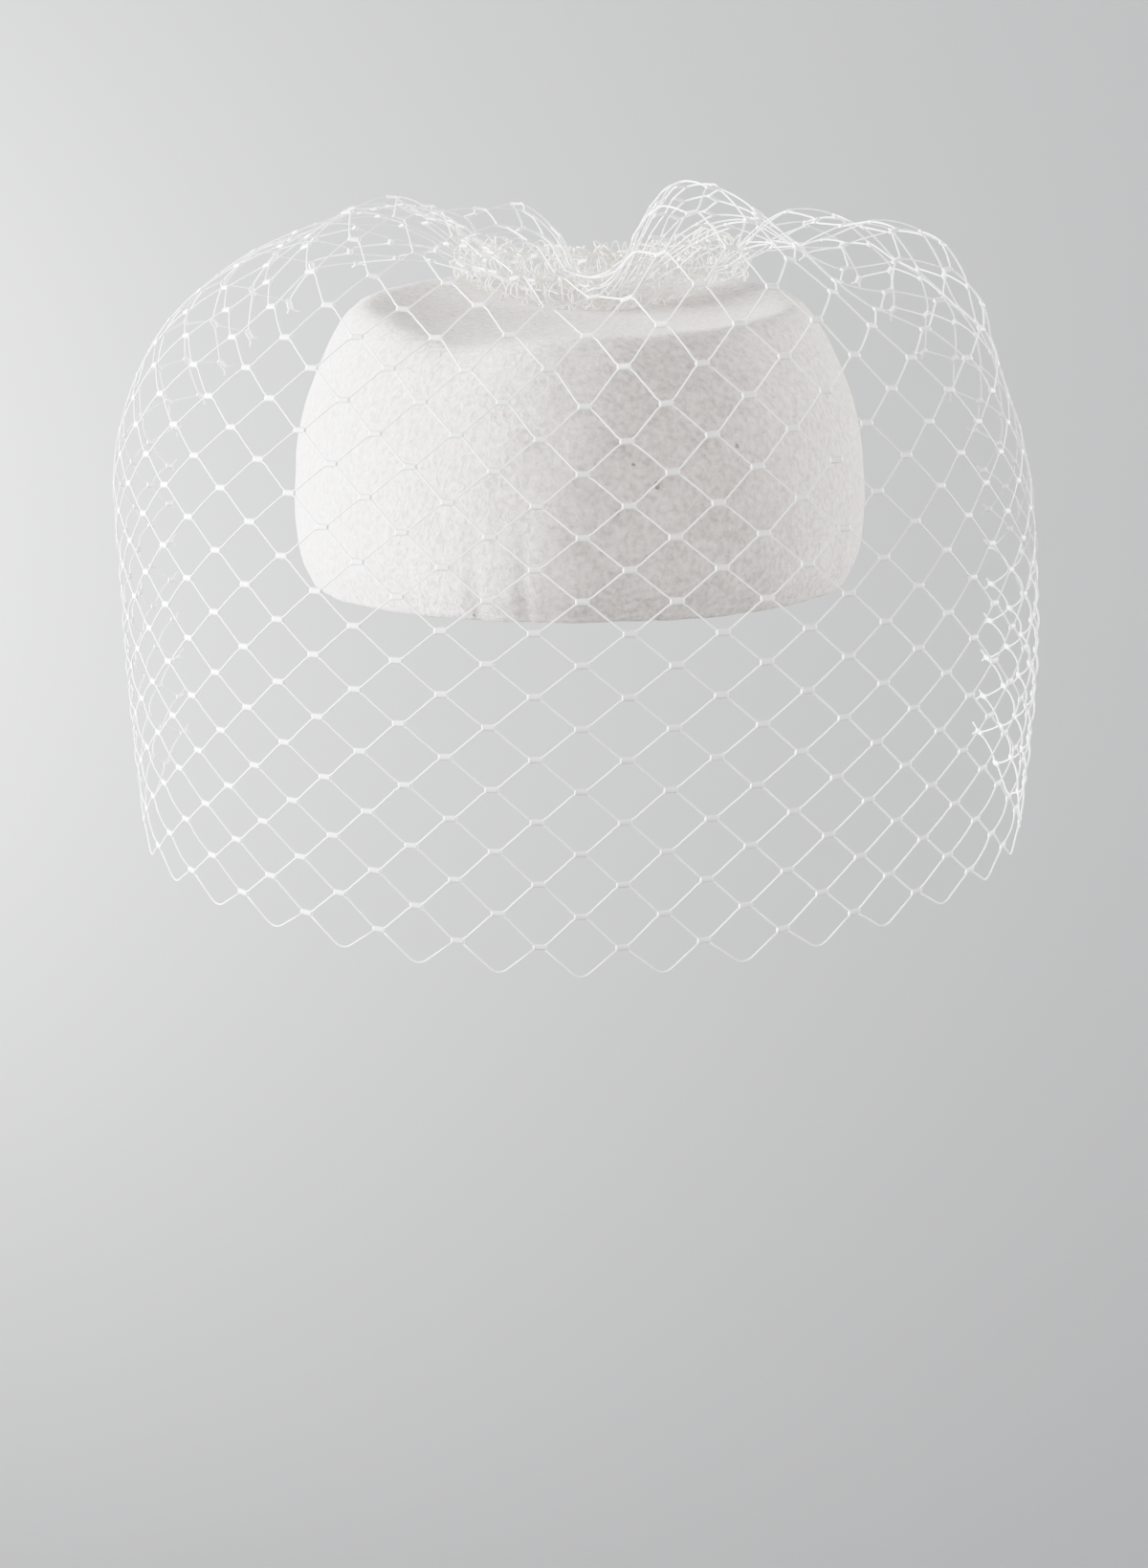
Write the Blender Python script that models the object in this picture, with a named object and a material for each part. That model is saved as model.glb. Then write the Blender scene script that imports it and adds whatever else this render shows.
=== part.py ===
# A felt pillbox hat with a short veil of coarse net, worn with the veil down over the face.
# Metres, +Z up. The origin is the middle of the head opening, level with the rim.
# The hat's front looks along -Y, and its left in a front view is -X.
# The felt is one blocked and sewn crown. The veil is one strip of net, and its upper
# edge is gathered into a thick ruffle that is sewn down on the crown's tip.

import math

import bmesh
import bpy
import numpy as np

# Clearance between pieces that touch on the real hat
GAP = 0.0003

# Felt crown
CROWN_HALF_WIDTH = 0.085
CROWN_HALF_DEPTH = 0.107
CROWN_HEIGHT = 0.083
CROWN_TILT = 0.0137
FELT = 0.003
RIM_TURN = 0.012
RIM_ROUND = 0.0022
RIM_LIP = 0.0006
RIM_STEP = 0.001
CROWN_SIDES = 56
CREASE_ANGLE = 50.0

# The dent at the ridge. Its places are shares of the crown's half width and half depth, and
# it fades out down the wall until this share of the crown's height.
DENT_DEPTH = 0.004
DENT_SIDE = -0.40
DENT_FRONT = -0.68
DENT_SPREAD = 0.24
DENT_FOOT = 0.60

# Veil: how far the net stands off the felt at its sides, front and back, how high it puffs
# above the crown, and how far it hangs below the rim
VEIL_SIDE_EASE = 0.052
VEIL_FRONT_EASE = 0.015
VEIL_BACK_EASE = 0.009
VEIL_PUFF = 0.029
VEIL_DROP = 0.090
NET_THICKNESS = 0.0012
NET_OPEN_SHARE = 0.80
NET_COLUMNS = 10
NET_ROWS = 13
SECTION_POINTS = 121
VEIL_HALF_WIDTH = CROWN_HALF_WIDTH + VEIL_SIDE_EASE
VEIL_FRONT_REACH = CROWN_HALF_DEPTH + VEIL_FRONT_EASE
VEIL_BACK_REACH = CROWN_HALF_DEPTH + VEIL_BACK_EASE
VEIL_RISE = CROWN_HEIGHT + VEIL_PUFF

# Gathered upper edge of the veil, sewn on the tip along a crescent with its ends behind.
# Its places are shares of the crown's half width and half depth.
GATHER_SIDE = 0.09
GATHER_BACK = 0.21
GATHER_HALF_LENGTH = 0.54
GATHER_BOW = 0.37
GATHER_WIDTH = 0.015
GATHER_HEIGHT = 0.013
GATHER_FOLDS = 11
GATHER_FOLD_DEPTH = 0.16
GATHER_END_SHARE = 0.35
GATHER_STEPS = 4 * GATHER_FOLDS
GATHER_SIDES = 10

# The crown's outer wall and tip from the rim to the middle of the tip:
# how far up, as a share of the crown's height, and how far out, as a share of its reach.
CROWN_WALL = (
    # up, out
    (0.035, 0.950),
    (0.085, 0.978),
    (0.150, 0.993),
    (0.250, 1.000),
    (0.360, 1.000),
    (0.490, 0.989),
    (0.600, 0.972),
    (0.700, 0.942),
    (0.790, 0.902),
    (0.870, 0.866),
    (0.930, 0.830),
    (0.972, 0.797),
    (0.996, 0.762),
)
CROWN_TIP = (
    # up, out
    (1.000, 0.725),
    (0.990, 0.680),
    (0.968, 0.600),
    (0.945, 0.470),
    (0.928, 0.310),
    (0.920, 0.150),
)
TIP_MIDDLE_UP = 0.918

# The veil's sections, from the left end of the net to the right end.
# turn is the share of the half turn. Each out is a share of the veil's reach, and each up
# is a share of the rise above the rim, or of the drop below it at the hem and the waist.
VEIL_COLUMNS = (
    "turn", "hem_out", "hem_up", "waist_up", "breast_out", "breast_up",
    "shoulder_out", "shoulder_up", "crest_out", "crest_up", "fall_up",
)
VEIL_SECTIONS = (
    (-1.00, 1.00, -0.74, 0.30, 1.00, 0.36, 0.91, 0.50, 0.76, 0.70, 0.84),
    (-0.80, 1.00, -0.82, -0.05, 1.00, 0.38, 0.92, 0.62, 0.72, 0.86, 0.92),
    (-0.60, 0.99, -0.87, -0.10, 0.97, 0.42, 0.90, 0.65, 0.66, 0.90, 0.95),
    (-0.42, 0.98, -0.91, -0.05, 0.92, 0.42, 0.83, 0.66, 0.60, 0.92, 0.96),
    (-0.26, 0.98, -0.96, 0.00, 0.88, 0.46, 0.75, 0.73, 0.56, 0.95, 0.97),
    (-0.10, 0.98, -1.00, 0.02, 0.87, 0.48, 0.75, 0.74, 0.54, 0.95, 0.95),
    (0.03, 0.98, -1.00, 0.02, 0.87, 0.48, 0.77, 0.73, 0.60, 0.80, 0.85),
    (0.12, 0.98, -1.00, 0.02, 0.88, 0.50, 0.81, 0.76, 0.66, 0.97, 0.97),
    (0.28, 0.98, -0.96, 0.00, 0.90, 0.48, 0.84, 0.74, 0.66, 0.93, 0.97),
    (0.48, 0.99, -0.91, -0.05, 0.92, 0.46, 0.86, 0.70, 0.70, 0.90, 0.95),
    (0.66, 1.00, -0.88, -0.10, 0.94, 0.40, 0.87, 0.66, 0.72, 0.88, 0.94),
    (0.84, 1.02, -0.85, -0.05, 0.96, 0.38, 0.88, 0.64, 0.74, 0.86, 0.92),
    (1.00, 1.02, -0.76, 0.25, 0.98, 0.38, 0.90, 0.54, 0.78, 0.72, 0.84),
)
# Half of the turn that the net covers at each level, in degrees from the front.
HALF_TURN = {
    "hem": 92.0,
    "waist": 98.0,
    "breast": 116.0,
    "shoulder": 134.0,
    "crest": 150.0,
}
# The fall is this share of the way from the crest to the seam.
FALL_SHARE = 0.5


def clear_scene():
    for thing in list(bpy.data.objects):
        bpy.data.objects.remove(thing, do_unlink=True)


def cloth_material(name, colour, roughness):
    material = bpy.data.materials.new(name)
    material.use_nodes = True
    shader = material.node_tree.nodes["Principled BSDF"]
    shader.inputs["Base Color"].default_value = (*colour, 1.0)
    shader.inputs["Roughness"].default_value = roughness
    shader.inputs["Metallic"].default_value = 0.0
    return material


def add_object(name, mesh_builder, material):
    mesh = bpy.data.meshes.new(name)
    mesh_builder.normal_update()
    mesh_builder.to_mesh(mesh)
    mesh_builder.free()
    mesh.materials.append(material)
    thing = bpy.data.objects.new(name, mesh)
    bpy.context.scene.collection.objects.link(thing)
    return thing


def smooth(places, values, at):
    """A smooth curve through the rows of a table, read at the places asked for."""
    at = np.clip(np.asarray(at, float), places[0], places[-1])
    slopes = np.gradient(values, places, axis=0)
    row = np.clip(np.searchsorted(places, at, side="right") - 1, 0, len(places) - 2)
    step = (places[row + 1] - places[row])[..., None]
    t = (at[..., None] - places[row][..., None]) / step
    start = (2 * t**3 - 3 * t**2 + 1) * values[row] + (t**3 - 2 * t**2 + t) * step * slopes[row]
    end = (3 * t**2 - 2 * t**3) * values[row + 1] + (t**3 - t**2) * step * slopes[row + 1]
    return start + end


def crown_height_at(x, y, up):
    """Height of a point of the felt: the crown is taller behind, with a soft dent in front."""
    height = up * (CROWN_HEIGHT + CROWN_TILT * y / CROWN_HALF_DEPTH)
    away = math.hypot(x / CROWN_HALF_WIDTH - DENT_SIDE, y / CROWN_HALF_DEPTH - DENT_FRONT)
    dent = DENT_DEPTH * math.exp(-((away / DENT_SPREAD) ** 2))
    return height - dent * max(0.0, up - DENT_FOOT) / (1.0 - DENT_FOOT)


def crown_point(angle, up, out):
    x = out * CROWN_HALF_WIDTH * math.sin(angle)
    y = -out * CROWN_HALF_DEPTH * math.cos(angle)
    return (x, y, crown_height_at(x, y, up))


def crown_inner(angle, up, out, depth):
    """The point that lies a wall's depth inside the felt, square to the outer surface."""
    here = np.array(crown_point(angle, up, out))
    rows = CROWN_WALL + CROWN_TIP + ((TIP_MIDDLE_UP, 0.0),)
    place = rows.index((up, out))
    before = np.array(crown_point(angle, *rows[max(place - 1, 0)]))
    after = np.array(crown_point(angle, *rows[min(place + 1, len(rows) - 1)]))
    along = after - before
    side = np.array((math.cos(angle), math.sin(angle), 0.0))
    inward = np.cross(along, side)
    return here + depth * inward / np.linalg.norm(inward)


def crown_rings():
    """Rings of points from the middle of the tip, over the wall, round the rim and back inside."""
    angles = [2 * math.pi * side / CROWN_SIDES for side in range(CROWN_SIDES)]
    wall = 2 * FELT
    rings = []
    for up, out in reversed(CROWN_WALL + CROWN_TIP):
        rings.append([crown_point(angle, up, out) for angle in angles])
    foot = [np.array(crown_point(angle, *CROWN_WALL[0])) for angle in angles]
    rim = []
    lip = []
    under = []
    turn_top = []
    step_top = []
    for angle, low in zip(angles, foot):
        outward = np.array((math.sin(angle), -math.cos(angle), 0.0))
        rim.append(low - outward * RIM_ROUND + np.array((0, 0, -low[2])))
        inner = low - outward * wall
        lip.append(inner + outward * RIM_LIP + np.array((0, 0, RIM_LIP - low[2])))
        under.append(inner)
        turn_top.append(inner + np.array((0, 0, RIM_TURN - low[2])))
        step_top.append(inner + outward * FELT + np.array((0, 0, RIM_TURN + RIM_STEP - low[2])))
    rings += [rim, lip, under, turn_top, step_top]
    for up, out in CROWN_WALL[3:] + CROWN_TIP:
        rings.append([crown_inner(angle, up, out, FELT) for angle in angles])
    return rings


def build_felt_crown():
    shell = bmesh.new()
    rings = [[shell.verts.new(point) for point in ring] for ring in crown_rings()]
    for upper, lower in zip(rings, rings[1:]):
        for side in range(CROWN_SIDES):
            after = (side + 1) % CROWN_SIDES
            shell.faces.new((upper[side], lower[side], lower[after], upper[after]))
    top_height = crown_height_at(0.0, 0.0, TIP_MIDDLE_UP)
    top = shell.verts.new((0.0, 0.0, top_height))
    bottom = shell.verts.new((0.0, 0.0, top_height - FELT))
    for side in range(CROWN_SIDES):
        after = (side + 1) % CROWN_SIDES
        shell.faces.new((top, rings[0][side], rings[0][after]))
        shell.faces.new((bottom, rings[-1][after], rings[-1][side]))
    bmesh.ops.recalc_face_normals(shell, faces=shell.faces)
    crown = add_object("felt_crown", shell, cloth_material("wool_felt", (0.78, 0.76, 0.75), 0.95))
    crown.data.shade_smooth()
    crown.data.set_sharp_from_angle(angle=math.radians(CREASE_ANGLE))
    return crown


def felt_height_over(x, y):
    """Height of the felt's outer surface straight above or below a point."""
    rows = np.array(((TIP_MIDDLE_UP, 0.0), *reversed(CROWN_TIP), *reversed(CROWN_WALL[4:])))
    out = math.hypot(x / CROWN_HALF_WIDTH, y / CROWN_HALF_DEPTH)
    return crown_height_at(x, y, float(np.interp(out, rows[:, 1], rows[:, 0])))


def gather_place(turn):
    """A point of the line on the tip where the veil's upper edge is sewn down."""
    x = (GATHER_SIDE + turn * GATHER_HALF_LENGTH) * CROWN_HALF_WIDTH
    y = (GATHER_BACK + GATHER_BOW * turn * turn) * CROWN_HALF_DEPTH
    return np.array((x, y, felt_height_over(x, y)))


def gather_swell(turn):
    """The ruffle is full in the middle and thinner at its ends."""
    fullness = math.sqrt(max(0.0, 1.0 - turn * turn))
    return GATHER_END_SHARE + (1.0 - GATHER_END_SHARE) * fullness


def gather_size(turn):
    """Width and height of the gathered ruffle, which rises and falls in soft folds."""
    fold = 1.0 + GATHER_FOLD_DEPTH * math.sin(math.pi * GATHER_FOLDS * turn)
    share = gather_swell(turn) * fold
    return GATHER_WIDTH * share, GATHER_HEIGHT * share


def build_veil_gather():
    roll = bmesh.new()
    rings = []
    for step in range(GATHER_STEPS + 1):
        turn = -1.0 + 2.0 * step / GATHER_STEPS
        width, height = gather_size(turn)
        seat = gather_place(turn)
        stride = 1.0 / GATHER_STEPS
        along = gather_place(min(turn + stride, 1.0)) - gather_place(max(turn - stride, -1.0))
        side_way = np.array((-along[1], along[0])) / math.hypot(along[0], along[1])
        ring = []
        for side in range(GATHER_SIDES):
            around = 2 * math.pi * side / GATHER_SIDES
            x, y = seat[:2] + 0.5 * width * math.cos(around) * side_way
            rise = 0.5 * height * (1.0 + math.sin(around))
            floor = max(seat[2], felt_height_over(x, y)) + GAP
            ring.append(roll.verts.new((x, y, floor + rise)))
        rings.append(ring)
    for left, right in zip(rings, rings[1:]):
        for side in range(GATHER_SIDES):
            after = (side + 1) % GATHER_SIDES
            roll.faces.new((left[side], left[after], right[after], right[side]))
    roll.faces.new(list(reversed(rings[0])))
    roll.faces.new(rings[-1])
    bmesh.ops.recalc_face_normals(roll, faces=roll.faces)
    gather = add_object("veil_gather", roll, cloth_material("gathered_net", (0.86, 0.84, 0.78), 0.7))
    gather.data.shade_smooth()
    return gather


def veil_stations(turn):
    """The points that one section of the veil passes through, from the hem to the gather."""
    table = np.array(VEIL_SECTIONS)
    values = smooth(table[:, 0], table[:, 1:], turn)
    share = dict(zip(VEIL_COLUMNS[1:], values))
    levels = (
        ("hem", share["hem_out"], share["hem_up"] * VEIL_DROP),
        ("waist", 1.0, share["waist_up"] * VEIL_DROP),
        ("breast", share["breast_out"], share["breast_up"] * VEIL_RISE),
        ("shoulder", share["shoulder_out"], share["shoulder_up"] * VEIL_RISE),
        ("crest", share["crest_out"], share["crest_up"] * VEIL_RISE),
    )
    points = []
    for level, out, height in levels:
        angle = turn * math.radians(HALF_TURN[level])
        depth = VEIL_FRONT_REACH if math.cos(angle) > 0 else VEIL_BACK_REACH
        x = out * VEIL_HALF_WIDTH * math.sin(angle)
        points.append((x, -out * depth * math.cos(angle), height))
    seam = gather_place(turn)
    ruffle_top = GATHER_HEIGHT * gather_swell(turn) * (1.0 + GATHER_FOLD_DEPTH)
    seam[2] += ruffle_top + 2 * GAP + 0.5 * NET_THICKNESS
    fall = (1.0 - FALL_SHARE) * np.array(points[-1]) + FALL_SHARE * seam
    fall[2] = share["fall_up"] * VEIL_RISE
    return np.array(points + [fall, seam])


def veil_section(turn):
    """One section of the veil as a line of points, with the length along it."""
    points = veil_stations(turn)
    lengths = np.linalg.norm(np.diff(points, axis=0), axis=1)
    along = np.concatenate([[0.0], np.cumsum(lengths)])
    line = smooth(along, points, np.linspace(0.0, along[-1], SECTION_POINTS))
    steps = np.linalg.norm(np.diff(line, axis=0), axis=1)
    return line, np.concatenate([[0.0], np.cumsum(steps)])


def build_veil_net():
    """The net, cut through in large diamonds: each is a ring of faces round an open middle."""
    net = bmesh.new()
    sections = {}
    corners = {}

    def veil_corner(column, row):
        key = (round(column, 4), round(row, 4))
        if key not in corners:
            turn = -1.0 + key[0] / NET_COLUMNS
            if key[0] not in sections:
                sections[key[0]] = veil_section(turn)
            line, along = sections[key[0]]
            place = along[-1] * key[1] / NET_ROWS
            point = [np.interp(place, along, line[:, axis]) for axis in range(3)]
            corners[key] = net.verts.new(point)
        return corners[key]

    around = ((0, -1), (0.5, -0.5), (1, 0), (0.5, 0.5), (0, 1), (-0.5, 0.5), (-1, 0), (-0.5, -0.5))
    for column in range(1, 2 * NET_COLUMNS):
        for row in range(1, NET_ROWS):
            if (column + row) % 2 == 0:
                continue
            outer = [veil_corner(column + a, row + b) for a, b in around]
            inner = [
                veil_corner(column + a * NET_OPEN_SHARE, row + b * NET_OPEN_SHARE) for a, b in around
            ]
            for side in range(8):
                after = (side + 1) % 8
                net.faces.new((outer[side], outer[after], inner[after], inner[side]))
    bmesh.ops.recalc_face_normals(net, faces=net.faces)
    veil = add_object("veil_net", net, cloth_material("veil_net", (0.88, 0.87, 0.83), 0.6))
    wall = veil.modifiers.new("thickness", "SOLIDIFY")
    wall.thickness = NET_THICKNESS
    wall.offset = 0.0
    return veil


def build_hat():
    clear_scene()
    build_felt_crown()
    build_veil_gather()
    build_veil_net()


build_hat()
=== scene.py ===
import math

import bpy
import numpy as np
from mathutils import Matrix, Vector


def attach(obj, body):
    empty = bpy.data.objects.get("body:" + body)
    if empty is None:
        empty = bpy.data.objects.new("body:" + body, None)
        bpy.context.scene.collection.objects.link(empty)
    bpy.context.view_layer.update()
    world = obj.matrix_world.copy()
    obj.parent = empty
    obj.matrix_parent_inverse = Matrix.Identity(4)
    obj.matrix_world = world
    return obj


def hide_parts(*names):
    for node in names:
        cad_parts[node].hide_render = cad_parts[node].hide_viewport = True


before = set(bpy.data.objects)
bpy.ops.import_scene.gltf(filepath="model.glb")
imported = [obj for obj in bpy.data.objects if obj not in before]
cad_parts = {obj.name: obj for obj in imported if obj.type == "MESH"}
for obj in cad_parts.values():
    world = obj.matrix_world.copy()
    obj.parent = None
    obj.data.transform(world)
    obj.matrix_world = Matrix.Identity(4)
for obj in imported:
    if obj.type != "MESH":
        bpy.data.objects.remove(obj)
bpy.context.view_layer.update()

# The camera stands a little above the rim, a short arm's length in front, and looks down on
# the hat. Its yaw and roll are the small leanings of a camera held by hand.
CAMERA_LENS = 50.0
CAMERA_PLACE = (0.0, -0.662, 0.080)
CAMERA_PITCH = 12.3
CAMERA_YAW = 0.2
CAMERA_ROLL = 0.4
bpy.ops.object.select_all(action="DESELECT")
bpy.ops.object.camera_add(location=CAMERA_PLACE)
camera = bpy.context.object
camera.name = "camera"
camera.data.lens = CAMERA_LENS
camera.data.sensor_width = 36.0
camera.data.clip_start = 0.01
camera.matrix_world = (
    Matrix.Translation(CAMERA_PLACE)
    @ Matrix.Rotation(math.radians(CAMERA_YAW), 4, "Z")
    @ Matrix.Rotation(math.radians(90.0 - CAMERA_PITCH), 4, "X")
    @ Matrix.Rotation(math.radians(-CAMERA_ROLL), 4, "Z")
)
bpy.context.scene.camera = camera

# The studio is a round pale floor that sweeps up all about into a pale wall. It lies well below
# the hat, because the hat is held up at the height where it is worn.
FLOOR_DROP = 1.0
FLOOR_RADIUS = 1.2
SWEEP_RADIUS = 2.2
WALL_HEIGHT = 2.5
SWEEP_STEPS = 20
STUDIO_PAINT = (0.56, 0.562, 0.568, 1.0)
bpy.ops.object.select_all(action="DESELECT")
bpy.ops.mesh.primitive_circle_add(
    vertices=96, radius=FLOOR_RADIUS, fill_type="TRIFAN", location=(0.0, 0.0, -FLOOR_DROP)
)
studio = bpy.context.object
studio.name = "studio_floor"
bpy.ops.object.mode_set(mode="EDIT")
bpy.ops.mesh.select_mode(type="VERT")
bpy.ops.mesh.select_all(action="DESELECT")
bpy.ops.object.mode_set(mode="OBJECT")
for corner in studio.data.vertices:
    corner.select = corner.co.xy.length > 0.5 * FLOOR_RADIUS
bpy.ops.object.mode_set(mode="EDIT")
bpy.ops.mesh.select_mode(type="EDGE")
radius, height = FLOOR_RADIUS, 0.0
for step in range(1, SWEEP_STEPS + 2):
    around = 0.5 * math.pi * min(step, SWEEP_STEPS) / SWEEP_STEPS
    new_radius = FLOOR_RADIUS + SWEEP_RADIUS * math.sin(around)
    new_height = SWEEP_RADIUS * (1.0 - math.cos(around)) if step <= SWEEP_STEPS else WALL_HEIGHT
    rise = (0.0, 0.0, new_height - height)
    bpy.ops.mesh.extrude_region_move(TRANSFORM_OT_translate={"value": rise})
    bpy.ops.transform.resize(value=(new_radius / radius, new_radius / radius, 1.0))
    radius, height = new_radius, new_height
bpy.ops.object.mode_set(mode="OBJECT")
bpy.ops.object.shade_smooth()
studio_paint = bpy.data.materials.new("studio_paint")
studio_paint.use_nodes = True
shader = studio_paint.node_tree.nodes["Principled BSDF"]
shader.inputs["Base Color"].default_value = STUDIO_PAINT
shader.inputs["Roughness"].default_value = 0.9
studio.data.materials.append(studio_paint)


# Soft window light comes from the left, with a weaker light from the right and behind and a weak
# one in front. A fourth brightens the wall on its left, and the pale room fills the rest.
def add_soft_light(name, place, aim, size, spread, power, colour):
    bpy.ops.object.light_add(type="AREA", location=place)
    light = bpy.context.object
    light.name = name
    light.data.shape = "DISK"
    light.data.size = size
    light.data.energy = power
    light.data.color = colour
    light.data.spread = math.radians(spread)
    light.rotation_euler = (Vector(place) - Vector(aim)).to_track_quat("Z", "Y").to_euler()
    return light


HAT_MIDDLE = (0.0, 0.0, 0.03)
add_soft_light("window_light", (-1.15, 0.10, 0.15), HAT_MIDDLE, 0.9, 60.0, 46.0, (0.95, 0.975, 1.0))
add_soft_light("right_light", (1.00, 0.70, 0.20), HAT_MIDDLE, 0.5, 50.0, 6.0, (0.98, 0.99, 1.0))
add_soft_light("front_light", (0.35, -1.6, 0.5), HAT_MIDDLE, 1.0, 70.0, 6.5, (1.0, 0.97, 0.94))
add_soft_light("wall_light", (-2.0, 2.1, 0.1), (-1.4, 3.1, -0.6), 0.9, 180.0, 320.0, (0.98, 0.99, 1.0))
ROOM_LIGHT = 1.02
room = bpy.data.worlds.new("room")
room.use_nodes = True
tree = room.node_tree
room_way = tree.nodes.new("ShaderNodeTexCoord").outputs["Generated"]
room_height = tree.nodes.new("ShaderNodeSeparateXYZ")
room_tone = tree.nodes.new("ShaderNodeValToRGB")
room_tone.color_ramp.elements[0].position = 0.30
room_tone.color_ramp.elements[0].color = (0.90, 0.91, 0.93, 1.0)
room_tone.color_ramp.elements[1].position = 0.85
room_tone.color_ramp.elements[1].color = (0.20, 0.205, 0.215, 1.0)
tree.links.new(room_way, room_height.inputs["Vector"])
tree.links.new(room_height.outputs["Z"], room_tone.inputs["Fac"])
tree.links.new(room_tone.outputs["Color"], tree.nodes["Background"].inputs["Color"])
tree.nodes["Background"].inputs["Strength"].default_value = ROOM_LIGHT
bpy.context.scene.world = room

# The crown is one hood of white wool felt, 3 mm thick, steamed over an oval block: side wall,
# soft ridge and sunk tip are one piece. It is taller behind, and a thumb has left a shallow
# dent at the front left of the ridge. The edge is turned up inside and lies double there.
CROWN_HALF_WIDTH = 0.085
CROWN_HALF_DEPTH = 0.107
CROWN_HEIGHT = 0.083
CROWN_TILT = 0.0137
FELT = 0.003
FELT_SHARE_KEPT = 0.95
RIM_TURN = 0.012
ROLL_STEPS = 6
CROWN_SIDES = 160
DENT_DEPTH = 0.004
DENT_SIDE = -0.40
DENT_FRONT = -0.68
DENT_SPREAD = 0.24
DENT_FOOT = 0.60
# From the rim to the tip's middle: how far up, as a share of the height, and how far out.
CROWN_PROFILE = (
    (0.085, 0.978),
    (0.150, 0.993),
    (0.250, 1.000),
    (0.360, 1.000),
    (0.490, 0.989),
    (0.600, 0.972),
    (0.700, 0.942),
    (0.790, 0.902),
    (0.870, 0.866),
    (0.930, 0.830),
    (0.972, 0.797),
    (0.996, 0.762),
    (1.000, 0.725),
    (0.990, 0.680),
    (0.968, 0.600),
    (0.945, 0.470),
    (0.928, 0.310),
    (0.920, 0.150),
)
RIM_OUT = 0.950
TIP_MIDDLE_UP = 0.918
# Small gathers where the turned edge is drawn in: turn from the front in degrees, then
# depth and height in metres.
RIM_GATHERS = (
    (-33.0, 0.0007, 0.016),
    (-30.0, 0.0005, 0.010),
    (-19.0, 0.0008, 0.022),
    (-10.0, 0.0008, 0.018),
    (-6.5, 0.0004, 0.009),
    (5.5, 0.0004, 0.008),
    (14.0, 0.0006, 0.012),
    (21.5, 0.0004, 0.008),
    (32.0, 0.0007, 0.014),
    (44.0, 0.0004, 0.010),
    (58.0, 0.0006, 0.012),
    (84.0, 0.0008, 0.016),
    (109.0, 0.0005, 0.010),
    (131.0, 0.0008, 0.014),
    (158.0, 0.0006, 0.012),
    (-172.0, 0.0008, 0.016),
    (-148.0, 0.0005, 0.010),
    (-122.0, 0.0008, 0.015),
    (-98.0, 0.0006, 0.012),
    (-64.0, 0.0007, 0.013),
    (-48.0, 0.0004, 0.010),
)
RIM_GATHER_SPREAD = 0.0022


def crown_height_at(x, y, up):
    """Height of the felt at a share of the crown's height, with its tilt and its dent."""
    height = up * (CROWN_HEIGHT + CROWN_TILT * y / CROWN_HALF_DEPTH)
    away = np.hypot(x / CROWN_HALF_WIDTH - DENT_SIDE, y / CROWN_HALF_DEPTH - DENT_FRONT)
    dent = DENT_DEPTH * np.exp(-((away / DENT_SPREAD) ** 2))
    return height - dent * np.maximum(0.0, up - DENT_FOOT) / (1.0 - DENT_FOOT)


def felt_height_over(x, y):
    """Height of the felt's outer surface straight above or below a point."""
    rows = np.array(((TIP_MIDDLE_UP, 0.0), *reversed(CROWN_PROFILE[3:])))
    out = np.hypot(x / CROWN_HALF_WIDTH, y / CROWN_HALF_DEPTH)
    return crown_height_at(x, y, np.interp(out, rows[:, 1], rows[:, 0]))


def mesh_points(thing):
    points = np.empty(3 * len(thing.data.vertices))
    thing.data.vertices.foreach_get("co", points)
    return points.reshape(-1, 3)


def set_mesh_points(thing, points):
    thing.data.vertices.foreach_set("co", np.ascontiguousarray(points).ravel())
    thing.data.update()


def crown_rings():
    """Half width, half depth and height of each ring, from the turned edge to the tip."""
    rows = np.array(CROWN_PROFILE)
    rings = []
    for height in np.linspace(RIM_TURN, FELT, 4):
        out = float(np.interp(height / CROWN_HEIGHT, rows[:4, 0], rows[:4, 1]))
        out = min(out, RIM_OUT + (out - RIM_OUT) * height / RIM_TURN)
        rings.append((out * CROWN_HALF_WIDTH - 2 * FELT, out * CROWN_HALF_DEPTH - 2 * FELT, height))
    for step in range(1, ROLL_STEPS):
        around = math.pi * step / ROLL_STEPS
        inset = FELT * (1.0 + math.cos(around))
        height = FELT * (1.0 - math.sin(around))
        rings.append((RIM_OUT * CROWN_HALF_WIDTH - inset, RIM_OUT * CROWN_HALF_DEPTH - inset, height))
    rings.append((RIM_OUT * CROWN_HALF_WIDTH, RIM_OUT * CROWN_HALF_DEPTH, FELT))
    for up, out in CROWN_PROFILE:
        rings.append((out * CROWN_HALF_WIDTH, out * CROWN_HALF_DEPTH, up * CROWN_HEIGHT))
    return rings


rings = crown_rings()
bpy.ops.object.select_all(action="DESELECT")
bpy.ops.mesh.primitive_circle_add(vertices=CROWN_SIDES, radius=1.0, location=(0.0, 0.0, 0.0))
crown = bpy.context.object
crown.name = "felt_hood"
bpy.ops.object.mode_set(mode="EDIT")
bpy.ops.mesh.select_all(action="SELECT")
bpy.ops.transform.resize(value=(rings[0][0], rings[0][1], 1.0))
bpy.ops.transform.translate(value=(0.0, 0.0, rings[0][2]))
for before, here in zip(rings, rings[1:]):
    rise = (0.0, 0.0, here[2] - before[2])
    bpy.ops.mesh.extrude_region_move(TRANSFORM_OT_translate={"value": rise})
    bpy.ops.transform.resize(value=(here[0] / before[0], here[1] / before[1], 1.0))
middle_rise = (0.0, 0.0, TIP_MIDDLE_UP * CROWN_HEIGHT - rings[-1][2])
bpy.ops.mesh.extrude_region_move(TRANSFORM_OT_translate={"value": middle_rise})
bpy.ops.mesh.merge(type="CENTER")
bpy.ops.mesh.select_all(action="SELECT")
bpy.ops.mesh.normals_make_consistent(inside=False)
bpy.ops.object.mode_set(mode="OBJECT")
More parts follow.
